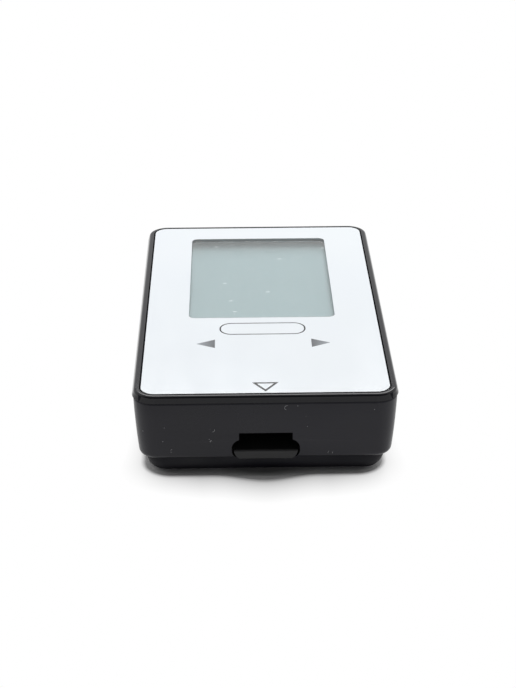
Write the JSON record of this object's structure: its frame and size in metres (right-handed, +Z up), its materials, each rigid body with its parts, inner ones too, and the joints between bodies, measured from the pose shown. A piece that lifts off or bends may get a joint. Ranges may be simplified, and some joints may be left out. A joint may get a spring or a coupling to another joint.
{
  "type": "blood glucose meter",
  "caption": "Pocket blood glucose meter: black drafted case, glossy white front panel with a display window, test strip port in one end, side push buttons and a sliding battery door.",
  "frame": {"origin": "middle of the underside, on the surface the meter stands on", "axes": "+Z up through the front panel, +Y along the length away from the strip port, +X to the right seen with the strip port nearest"},
  "size_m": [0.0364, 0.0608, 0.0131],
  "materials": {
    "bezel_gloss": "glossy black plastic",
    "panel_white": "glossy white printed sheet",
    "print_grey": "grey ink",
    "lens_clear": "clear acrylic",
    "foam_black": "black foam",
    "display_film": "pale grey-green polariser film",
    "display_glass": "thin display glass",
    "reflector_film": "reflective film",
    "inner_black": "moulded black plastic",
    "elastomer_pink": "layered silicone",
    "board_green": "green solder mask",
    "chip_black": "moulded package",
    "tinned_metal": "tinned",
    "ceramic_tan": "ceramic",
    "gold_plate": "gold plated spring metal",
    "plunger_ivory": "ivory plastic",
    "button_black": "satin black plastic",
    "case_satin": "satin black plastic",
    "cover_black": "satin black plastic",
    "door_black": "satin black plastic",
    "label_silver": "bare silver film",
    "cell_steel": "drawn steel",
    "seal_grey": "moulded seal",
    "spring_nickel": "nickel plated spring metal",
    "screw_steel": "zinc plated"
  },
  "bodies": {
    "meter": {"bezel_frame": "bezel_gloss", "front_panel": "panel_white", "panel_marks": "print_grey", "window_lens": "lens_clear", "screen_gasket": "foam_black", "display_polarizer": "display_film", "display_front_glass": "display_glass", "display_rear_glass": "display_glass", "display_reflector": "reflector_film", "display_holder": "inner_black", "elastomer_connector": "elastomer_pink", "circuit_board": "board_green", "main_chip": "chip_black", "memory_chip": "chip_black", "amplifier_chip": "chip_black", "chip_leads": "tinned_metal", "timing_crystal": "tinned_metal", "board_capacitors": "ceramic_tan", "board_resistors": "chip_black", "thermistor": "chip_black", "strip_connector": "inner_black", "strip_contacts": "gold_plate", "switch_left": "inner_black", "switch_right": "inner_black", "middle_case": "case_satin", "bottom_cover": "cover_black", "rating_label": "label_silver", "cell_tray": "inner_black", "cell_can": "cell_steel", "cell_seal": "seal_grey", "cell_cap": "cell_steel", "positive_contact": "spring_nickel", "negative_contact": "spring_nickel", "case_screws": "screw_steel"},
    "button_left": {"button_left": "button_black", "plunger_left": "plunger_ivory"},
    "button_right": {"button_right": "button_black", "plunger_right": "plunger_ivory"},
    "battery_door": {"battery_door": "door_black"}
  },
  "joints": [
    {"name": "button_left_press", "type": "slide", "parent": "meter", "child": "button_left", "axis": [1, 0, 0], "range_m": [0, 0.00035], "stiffness_N_per_m": 1500, "springref_m": -0.0003},
    {"name": "button_right_press", "type": "slide", "parent": "meter", "child": "button_right", "axis": [-1, 0, 0], "range_m": [0, 0.00035], "stiffness_N_per_m": 1500, "springref_m": -0.0003},
    {"name": "battery_door_slide", "type": "slide", "parent": "meter", "child": "battery_door", "axis": [0, 1, 0], "range_m": [0, 0.026]}
  ]
}
